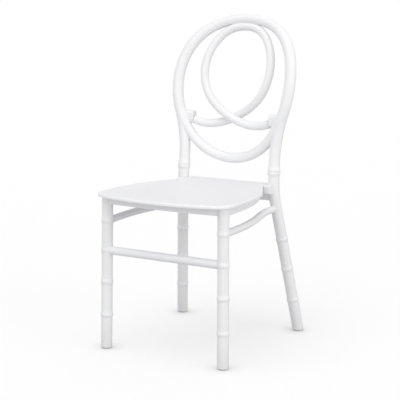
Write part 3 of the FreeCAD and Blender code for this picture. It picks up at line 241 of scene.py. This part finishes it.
@dataclass(frozen=True)
class Surface:
    """One finish: its two tones, its gloss and how much grain and wear it shows."""

    name: str
    tone: tuple[float, float, float]
    shade: tuple[float, float, float]
    roughness: tuple[float, float]
    grain: float = 0.03
    ripple: float = 0.05
    wear: float = 0.4
    metallic: float = 0.0
    coat: float = 0.0
    subsurface: float = 0.0
    grain_size: float = 900.0

    def build(self) -> bpy.types.Material:
        """Makes the material.

        Returns:
            A material whose colour, gloss and relief all change a little over the surface.
        """
        material = bpy.data.materials.new(self.name)
        material.use_nodes = True
        graph = Graph(material.node_tree)
        shader = material.node_tree.nodes["Principled BSDF"]
        shader.inputs["Metallic"].default_value = self.metallic
        shader.inputs["IOR"].default_value = RESIN_IOR
        shader.inputs["Coat Weight"].default_value = self.coat
        shader.inputs["Coat Roughness"].default_value = COAT_ROUGHNESS
        shader.inputs["Subsurface Weight"].default_value = self.subsurface
        shader.inputs["Subsurface Radius"].default_value = SCATTER_COLOURS
        shader.inputs["Subsurface Scale"].default_value = SCATTER_DEPTH
        skin = graph.add("ShaderNodeGroup", node_tree=SurfaceEffects.moulded_skin())
        skin.inputs["Grain Size"].default_value = self.grain_size
        marks = graph.add("ShaderNodeGroup", node_tree=SurfaceEffects.use_marks())
        marks.inputs["Amount"].default_value = self.wear
        tint = graph.add("ShaderNodeMix", data_type="RGBA")
        tint.inputs["A"].default_value = (*self.shade, 1.0)
        tint.inputs["B"].default_value = (*self.tone, 1.0)
        graph.link(graph.spread(skin.outputs["Cloud"], 0.35, 0.65), tint.inputs["Factor"])
        dusty = graph.add("ShaderNodeMix", data_type="RGBA")
        dusty.inputs["B"].default_value = DUST_COLOUR
        graph.link(tint.outputs["Result"], dusty.inputs["A"])
        graph.link(marks.outputs["Dust"], dusty.inputs["Factor"])
        graph.link(dusty.outputs["Result"], shader.inputs["Base Color"])
        worn = graph.add("ShaderNodeMath", operation="MULTIPLY_ADD", use_clamp=True)
        worn.inputs[1].default_value = SCUFF_ROUGHNESS
        graph.link(marks.outputs["Scuffs"], worn.inputs[0])
        graph.link(graph.between(skin.outputs["Cloud"], *self.roughness), worn.inputs[2])
        graph.link(worn.outputs[0], shader.inputs["Roughness"])
        relief = graph.add("ShaderNodeBump")
        relief.inputs["Strength"].default_value = self.ripple
        relief.inputs["Distance"].default_value = RIPPLE_HEIGHT
        graph.link(skin.outputs["Ripple"], relief.inputs["Height"])
        fine = graph.add("ShaderNodeBump")
        fine.inputs["Strength"].default_value = self.grain
        fine.inputs["Distance"].default_value = GRAIN_HEIGHT
        graph.link(skin.outputs["Grain"], fine.inputs["Height"])
        graph.link(relief.outputs["Normal"], fine.inputs["Normal"])
        graph.link(fine.outputs["Normal"], shader.inputs["Normal"])
        return material


SURFACES = {
    Finish.RESIN: Surface(
        "satin_resin", (0.85, 0.85, 0.865), (0.835, 0.835, 0.85), (0.36, 0.46), subsurface=0.06
    ),
    Finish.BLOCK: Surface("matt_resin", (0.80, 0.805, 0.81), (0.76, 0.765, 0.775), (0.5, 0.62), grain=0.08),
    Finish.STEEL: Surface(
        "zinc_plate", (0.62, 0.62, 0.63), (0.48, 0.48, 0.50), (0.28, 0.5), grain=0.2, wear=0.8, metallic=1.0
    ),
    Finish.GLIDE: Surface(
        "nylon", (0.74, 0.745, 0.75), (0.68, 0.685, 0.69), (0.45, 0.6), grain=0.15, wear=1.0
    ),
    Finish.DOWEL: Surface(
        "beech", (0.62, 0.44, 0.27), (0.50, 0.33, 0.18), (0.55, 0.7), grain=0.3, grain_size=300.0
    ),
}


class Dresser:
    """Gives each node and each new piece its finish and smooth shading."""

    def __init__(self, record: dict) -> None:
        """Reads which slot each node uses.

        Args:
            record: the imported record.
        """
        self.slots = {part["node"]: Finish(part["material_slot"]) for part in record["subparts"]}
        self.materials = {finish: surface.build() for finish, surface in SURFACES.items()}

    def dress(self, piece: bpy.types.Object, finish: Finish, corner: float = NODE_CORNER) -> None:
        """Puts a finish on one piece.

        Args:
            piece: the mesh object.
            finish: which finish it gets.
            corner: angle in degrees past which an edge stays sharp.
        """
        piece.data.materials.clear()
        piece.data.materials.append(self.materials[finish])
        smooth(piece, corner)

    def dress_nodes(self, nodes: dict[str, bpy.types.Object]) -> None:
        """Puts every CAD node's own finish on it.

        Args:
            nodes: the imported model's objects by name.
        """
        for name, node in nodes.items():
            self.dress(node, self.slots[name])
            log.info("dressed %s in %s", name, self.slots[name].value)


def smooth(piece: bpy.types.Object, corner: float) -> None:
    """Shades a mesh smoothly between its sharp edges.

    Args:
        piece: the mesh object.
        corner: angle in degrees past which an edge stays sharp.
    """
    bpy.context.view_layer.objects.active = piece
    piece.select_set(True)
    bpy.ops.object.shade_smooth_by_angle(angle=math.radians(corner), keep_sharp_edges=False)
    piece.select_set(False)


# Moulded details, in millimetres until they go into a mesh.


def unit(way: np.ndarray) -> np.ndarray:
    """Vectors of length one along the last axis."""
    return way / np.linalg.norm(way, axis=-1, keepdims=True)


def square_to(way: np.ndarray) -> tuple[np.ndarray, np.ndarray]:
    """Two directions square to a way and to each other."""
    first = unit(np.cross(way, (0.0, 0.0, 1.0) if abs(way[2]) < 0.9 else (1.0, 0.0, 0.0)))
    return first, np.cross(way, first)


def off_axis(points: np.ndarray, start: np.ndarray, way: np.ndarray) -> np.ndarray:
    """Each point's reach from a line: the way from the line's start, less its share along the line."""
    reach = points - start
    return reach - (reach @ way)[..., None] * way


def mirrored_x(point: tuple[float, float, float], side: int) -> np.ndarray:
    """A right-hand point, or its mirror image on the left."""
    return np.array(point, dtype=float) * (side, 1.0, 1.0)


def closed_piece(name: str, grids: list[np.ndarray]) -> bpy.types.Object:
    """Makes one piece from grids that close on themselves both ways, like a ring's skin.

    Each corner is joined to the next along its row and to the same place in the next row, and the last
    row and column join the first. A grid whose faces enclose a negative volume is turned round, so that
    all faces point outwards.

    Args:
        name: the piece's name.
        grids: arrays of rows by columns by three, in millimetres.

    Returns:
        The piece, in metres, riding with the chair.
    """
    corners, faces, start = [], [], 0
    for grid in grids:
        rows, columns = grid.shape[:2]
        places = np.arange(rows * columns).reshape(rows, columns)
        beside, below = np.roll(places, -1, axis=1), np.roll(places, -1, axis=0)
        quads = np.stack([places, beside, np.roll(beside, -1, axis=0), below], axis=-1).reshape(-1, 4)
        flat = grid.reshape(-1, 3)
        one, two, three, four = (flat[quads[:, k]] - flat.mean(axis=0) for k in range(4))
        volume = np.einsum("ij,ij->", one, np.cross(two, three) + np.cross(three, four))
        quads = quads if volume > 0 else quads[:, ::-1]
        corners.append(flat * MM)
        faces.append(quads + start)
        start += len(flat)
    mesh = bpy.data.meshes.new(name)
    mesh.from_pydata(np.concatenate(corners).tolist(), [], np.concatenate(faces).tolist())
    mesh.update()
    piece = bpy.data.objects.new(name, mesh)
    bpy.context.scene.collection.objects.link(piece)
    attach(piece, BODY)
    return piece


@dataclass(frozen=True)
class RoundBar:
    """A straight stretch of a round bar or leg: a point on its axis, its direction and its radius."""

    start: np.ndarray
    way: np.ndarray
    radius: float

    def at_height(self, height: float) -> np.ndarray:
        """Point of a leg's axis at a height above the floor, where the axis starts."""
        return self.start + self.way * height / self.way[2]


def straight_leg(
    foot: tuple[float, float, float], top: tuple[float, float, float], radius: float, side: int
) -> RoundBar:
    """Straight leg on one side of the chair.

    Args:
        foot: where the right-hand leg's axis meets the floor.
        top: a point higher on that axis.
        radius: the leg's radius.
        side: 1 for the right and -1 for the left.

    Returns:
        The leg, from the floor up.
    """
    start = mirrored_x(foot, side)
    return RoundBar(start, unit(mirrored_x(top, side) - start), radius)


@dataclass(frozen=True)
class Swell:
    """One smooth swell along a leg: its crest, how far it stands out and how far it fades up and down."""

    crest: float
    rise: float
    above: float
    below: float

    def out(self, along: np.ndarray) -> np.ndarray:
        """Rise times the squared cosine of a quarter turn that runs from the crest to the swell's end.

        Args:
            along: places along the leg, measured from the ring.

        Returns:
            How far the swell stands out at each place.
        """
        reach = np.where(along > self.crest, self.above, self.below)
        share = np.clip(np.abs(along - self.crest) / reach, 0.0, 1.0)
        return self.rise * np.cos(share * math.pi / 2) ** 2


@dataclass
class RingBeads:
    """Soft beads of the moulded rings on the legs and posts."""

    front_foot: tuple[float, float, float] = (187.0, -211.0, 0.0)
    front_top: tuple[float, float, float] = (182.2, -203.3, 433.5)
    front_radius: float = 15.5
    front_rings: tuple[float, ...] = (94.0, 188.5, 277.5, 360.0)
    rear_foot: tuple[float, float, float] = (200.0, 220.0, 0.0)
    rear_bend: tuple[float, float, float] = (158.1, 154.7, 360.0)
    rear_radius: float = 16.0
    rear_rings: tuple[float, ...] = (94.0, 188.5, 277.5)
    post_place: tuple[float, float, float] = (149.6, 148.2, 475.0)
    post_way: tuple[float, float, float] = (-0.0191, 0.0790, 0.9967)
    leg_swells: tuple[Swell, ...] = (Swell(2.5, 2.1, 12.0, 9.0),)
    post_swells: tuple[Swell, ...] = (Swell(6.0, 2.8, 16.0, 7.0), Swell(-1.0, 2.8, 6.0, 12.0))
    sunk: float = 1.2
    fade: float = 0.25
    turns: int = 64
    steps: int = 26

    def bead(
        self, place: np.ndarray, way: np.ndarray, radius: float, swells: tuple[Swell, ...]
    ) -> np.ndarray:
        """One bead: a profile carried round a leg.

        The profile runs down the leg, standing out by the largest of the swells less a little, so that its
        ends sink into the leg, and goes back up inside. Each of its points is turned about the leg's axis.

        Args:
            place: the ring's centre.
            way: the leg's direction there.
            radius: the leg's radius.
            swells: the bead's swells, measured along the leg from the ring.

        Returns:
            A closed grid, profile by turn.
        """
        high = max(swell.crest + swell.above for swell in swells)
        low = min(swell.crest - swell.below for swell in swells)
        along = np.linspace(high, low, self.steps)
        out = np.max([swell.out(along) for swell in swells], axis=0) - self.fade
        along = np.concatenate([along, (low, high)])
        out = np.concatenate([out, (-self.sunk, -self.sunk)])
        turn = np.linspace(0.0, 2 * math.pi, self.turns, endpoint=False)
        first, second = square_to(way)
        spoke = np.cos(turn)[:, None] * first + np.sin(turn)[:, None] * second
        return place + along[:, None, None] * way + (radius + out)[:, None, None] * spoke

    def front_leg(self, side: int) -> RoundBar:
        """Front leg's axis on one side, from the floor up."""
        return straight_leg(self.front_foot, self.front_top, self.front_radius, side)

    def rear_leg(self, side: int) -> RoundBar:
        """Rear leg's axis below its bend on one side, from the floor up."""
        return straight_leg(self.rear_foot, self.rear_bend, self.rear_radius, side)

    def leg_beads(self, leg: RoundBar, heights: tuple[float, ...]) -> list[np.ndarray]:
        """Beads of a straight leg, where its axis reaches the rings' heights."""
        places = [leg.at_height(height) for height in heights]
        return [self.bead(place, leg.way, leg.radius, self.leg_swells) for place in places]

    def build(self, dresser: Dresser) -> None:
        """Makes one piece of beads for each leg and dresses it.

        Args:
            dresser: gives the beads their finish.
        """
        for side, hand in HANDS:
            front = self.leg_beads(self.front_leg(side), self.front_rings)
            rear = self.leg_beads(self.rear_leg(side), self.rear_rings)
            place, way = mirrored_x(self.post_place, side), unit(mirrored_x(self.post_way, side))
            rear.append(self.bead(place, way, self.rear_radius, self.post_swells))
            for grids, leg in ((front, "front"), (rear, "rear")):
                dresser.dress(closed_piece(f"{leg}_leg_{hand}_beads", grids), Finish.RESIN, DETAIL_CORNER)
                log.info("%d beads on the %s %s leg", len(grids), leg, hand)


@dataclass
class JointFillets:
    """Small fillets where the front stretcher and the side braces run into the legs."""

    beads: RingBeads = field(default_factory=RingBeads)
    stretcher_height: float = 280.0
    stretcher_radius: float = 11.5
    brace_radius: float = 10.0
    brace_front: tuple[float, float, float] = (183.0, -204.58, 361.5)
    brace_front_way: tuple[float, float, float] = (0.0366, 0.9989, 0.0277)
    brace_rear: tuple[float, float, float] = (156.74, 152.67, 371.5)
    brace_rear_way: tuple[float, float, float] = (-0.2363, -0.9713, -0.0266)
    rear_way: tuple[float, float, float] = (-0.1171, -0.1676, 0.9789)
    reach: float = 3.2
    sunk: float = 0.8
    turns: int = 72
    steps: int = 8

    def fillet(self, bar: RoundBar, leg: RoundBar) -> np.ndarray:
        """One fillet, worked out round a bar and across its corner with a leg.

        For each turn round the bar, the line along its skin meets the leg's skin where the point's distance
        from the leg's axis is the leg's radius, the root of a quadratic. From there one end lies a reach
        along the bar and the other a reach along the leg's skin, and the fillet is the quadratic curve
        between them that the corner pulls. The grid goes back inside both, so that it closes.

        Args:
            bar: the bar, from the leg's axis outwards.
            leg: the leg that it runs into.

        Returns:
            A closed grid, across by turn.
        """
        turn = np.linspace(0.0, 2 * math.pi, self.turns, endpoint=False)
        first, second = square_to(bar.way)
        spoke = np.cos(turn)[:, None] * first + np.sin(turn)[:, None] * second
        skin = bar.start + bar.radius * spoke
        slope = bar.way - (bar.way @ leg.way) * leg.way
        offset = off_axis(skin, leg.start, leg.way)
        half, square = offset @ slope, slope @ slope
        spare = half**2 - square * (np.sum(offset**2, axis=1) - leg.radius**2)
        corner = skin + ((np.sqrt(spare) - half) / square)[:, None] * bar.way
        normal = unit(off_axis(corner, leg.start, leg.way))
        away = unit(spoke - np.sum(spoke * normal, axis=1, keepdims=True) * normal)
        on_bar = corner + self.reach * bar.way
        beside = corner + self.reach * away
        inner = off_axis(beside, leg.start, leg.way)
        on_leg = beside - inner + unit(inner) * leg.radius
        share = np.linspace(0.0, 1.0, self.steps)[:, None, None]
        curve = (1 - share) ** 2 * on_bar + 2 * share * (1 - share) * corner + share**2 * on_leg
        under_leg, under_bar = on_leg - self.sunk * normal, on_bar - self.sunk * spoke
        under_corner = corner - self.sunk * (normal + spoke)
        return np.concatenate([curve, np.stack([under_leg, under_corner, under_bar])])

    def stretcher_end(self, side: int) -> np.ndarray:
        """Fillet where the stretcher runs into one front leg.

        Args:
            side: 1 for the right and -1 for the left.

        Returns:
            A closed grid.
        """
        leg = self.beads.front_leg(side)
        inward = np.array((-side, 0.0, 0.0))
        bar = RoundBar(leg.at_height(self.stretcher_height), inward, self.stretcher_radius)
        return self.fillet(bar, leg)

    def brace_ends(self, side: int) -> list[np.ndarray]:
        """Fillets where one side brace runs into its front and its rear leg.

        Args:
            side: 1 for the right and -1 for the left.

        Returns:
            Two closed grids, front and rear.
        """
        front, rear = mirrored_x(self.brace_front, side), mirrored_x(self.brace_rear, side)
        front_way = unit(mirrored_x(self.brace_front_way, side))
        rear_way = unit(mirrored_x(self.brace_rear_way, side))
        rear_leg = RoundBar(rear, unit(mirrored_x(self.rear_way, side)), self.beads.rear_radius)
        return [
            self.fillet(RoundBar(front, front_way, self.brace_radius), self.beads.front_leg(side)),
            self.fillet(RoundBar(rear, rear_way, self.brace_radius), rear_leg),
        ]

    def build(self, dresser: Dresser) -> None:
        """Makes the stretcher's and each brace's fillets and dresses them.

        Args:
            dresser: gives the fillets their finish.
        """
        for side, hand in HANDS:
            piece = closed_piece(f"side_brace_{hand}_fillets", self.brace_ends(side))
            dresser.dress(piece, Finish.RESIN, DETAIL_CORNER)
            log.info("fillets on the %s side brace", hand)
        ends = [self.stretcher_end(side) for side, _ in HANDS]
        dresser.dress(closed_piece("front_stretcher_fillets", ends), Finish.RESIN, DETAIL_CORNER)
        log.info("fillets on the front stretcher")


@dataclass(frozen=True)
class SoftLight:
    """A distant soft light, from a compass direction and a height, both in degrees."""

    name: str
    azimuth: float
    elevation: float
    strength: float
    softness: float

    def direction(self) -> Vector:
        """Way from the chair to the light."""
        turn, rise = math.radians(self.azimuth), math.radians(self.elevation)
        return Vector((math.sin(turn) * math.cos(rise), -math.cos(turn) * math.cos(rise), math.sin(rise)))


@dataclass
class Studio:
    """Pale floor, soft lights and the camera at the photograph's angle."""

    camera_place: Vector = field(default_factory=lambda: Vector((1.6190, -2.7662, 0.9754)))
    look_at: Vector = field(default_factory=lambda: Vector((-0.0432, 0.0600, 0.3919)))
    roll: float = 0.066
    lens: float = 103.94
    floor_size: float = 14.0
    floor_tone: tuple[float, float, float] = (0.47, 0.47, 0.47)
    floor_bounce: tuple[float, float, float] = (0.58, 0.58, 0.585)
    # Camera-only glow of the floor, dimmed to contact_glow close to the feet as a painted contact shadow.
    floor_glow: float = 0.5
    contact_glow: float = 0.12
    contact_reach: float = 0.045
    surround_light: float = 0.70
    lamps: tuple[SoftLight, ...] = (
        SoftLight("key", -10.0, 68.0, 0.83, 55.0),
        SoftLight("fill", 8.0, 9.0, 0.54, 50.0),
        SoftLight("side", 82.0, 16.0, 0.80, 50.0),
    )

    def build(self) -> None:
        """Makes the floor, lights, world and camera."""
        self.make_floor()
        self.make_world()
        self.make_lights()
        self.make_camera()

    def make_floor(self) -> None:
        """Flat pale floor, faintly uneven.

        To the camera half its light is its own glow, so that shadows stay soft. Close to the feet that glow
        is dimmed, a painted contact shadow, so that the feet still stand. To the chair it sends back less
        light than it shows.
        """
        half = self.floor_size / 2
        mesh = bpy.data.meshes.new("floor")
        corners = [(-half, -half, 0), (half, -half, 0), (half, half, 0), (-half, half, 0)]
        mesh.from_pydata(corners, [], [(0, 1, 2, 3)])
        floor = bpy.data.objects.new("floor", mesh)
        bpy.context.scene.collection.objects.link(floor)
        material = bpy.data.materials.new("floor")
        material.use_nodes = True
        graph = Graph(material.node_tree)
        shader = material.node_tree.nodes["Principled BSDF"]
        shader.inputs["Roughness"].default_value = 0.9
        shader.inputs["Specular IOR Level"].default_value = 0.1
        place = graph.add("ShaderNodeTexCoord").outputs["Object"]
        tint = graph.add("ShaderNodeMix", data_type="RGBA")
        tint.inputs["A"].default_value = (*self.floor_tone, 1.0)
        tint.inputs["B"].default_value = (*(tone * 0.99 for tone in self.floor_tone), 1.0)
        graph.link(graph.noise(place, 0.8), tint.inputs["Factor"])
        seen = graph.add("ShaderNodeLightPath").outputs["Is Camera Ray"]
        bounce = graph.add("ShaderNodeMix", data_type="RGBA")
        bounce.inputs["A"].default_value = (*self.floor_bounce, 1.0)
        graph.link(tint.outputs["Result"], bounce.inputs["B"])
        graph.link(seen, bounce.inputs["Factor"])
        graph.link(bounce.outputs["Result"], shader.inputs["Base Color"])
        # Painted contact shadow: where the floor's ambient occlusion finds the feet near, its glow drops.
        contact = graph.add("ShaderNodeAmbientOcclusion", samples=8)
        contact.inputs["Distance"].default_value = self.contact_reach
        own_light = graph.between(contact.outputs["AO"], self.contact_glow, self.floor_glow)
        glow = graph.add("ShaderNodeMath", operation="MULTIPLY")
        graph.link(own_light, glow.inputs[1])
        graph.link(seen, glow.inputs[0])
        shader.inputs["Emission Color"].default_value = (1.0, 1.0, 1.0, 1.0)
        graph.link(glow.outputs[0], shader.inputs["Emission Strength"])
        mesh.materials.append(material)

    def make_world(self) -> None:
        """White surroundings, seen at full brightness and lighting the chair a little less."""
        world = bpy.data.worlds.new("studio")
        world.use_nodes = True
        graph = Graph(world.node_tree)
        background = world.node_tree.nodes["Background"]
        background.inputs["Color"].default_value = (1.0, 1.0, 1.0, 1.0)
        seen = graph.add("ShaderNodeLightPath").outputs["Is Camera Ray"]
        graph.link(graph.between(seen, self.surround_light, 1.0), background.inputs["Strength"])
        bpy.context.scene.world = world

    def make_lights(self) -> None:
        """Very soft lights that reach the whole floor evenly: above, in front and on the right."""
        for lamp in self.lamps:
            data = bpy.data.lights.new(lamp.name, "SUN")
            data.energy = lamp.strength
            data.angle = math.radians(lamp.softness)
            light = bpy.data.objects.new(lamp.name, data)
            light.rotation_euler = (-lamp.direction()).to_track_quat("-Z", "Y").to_euler()
            bpy.context.scene.collection.objects.link(light)

    def make_camera(self) -> None:
        """Camera where the photograph was taken from, worked out from the chair's outline."""
        data = bpy.data.cameras.new("camera")
        data.lens = self.lens
        data.sensor_width = 36.0
        camera = bpy.data.objects.new("camera", data)
        aim = (self.look_at - self.camera_place).to_track_quat("-Z", "Y").to_matrix()
        turn = Matrix.Rotation(math.radians(self.roll), 3, "Z")
        camera.matrix_world = Matrix.Translation(self.camera_place) @ (aim @ turn).to_4x4()
        bpy.context.scene.collection.objects.link(camera)
        bpy.context.scene.camera = camera


def main() -> None:
    """Builds the scene piece by piece."""
    logging.basicConfig(level=logging.INFO, format="%(name)s: %(message)s")
    bpy.context.scene.view_settings.view_transform = "Standard"
    dresser = Dresser(frame["record"])
    dresser.dress_nodes(frame["nodes"])
    RingBeads().build(dresser)
    JointFillets().build(dresser)
    Studio().build()


if __name__ == "__main__":
    main()
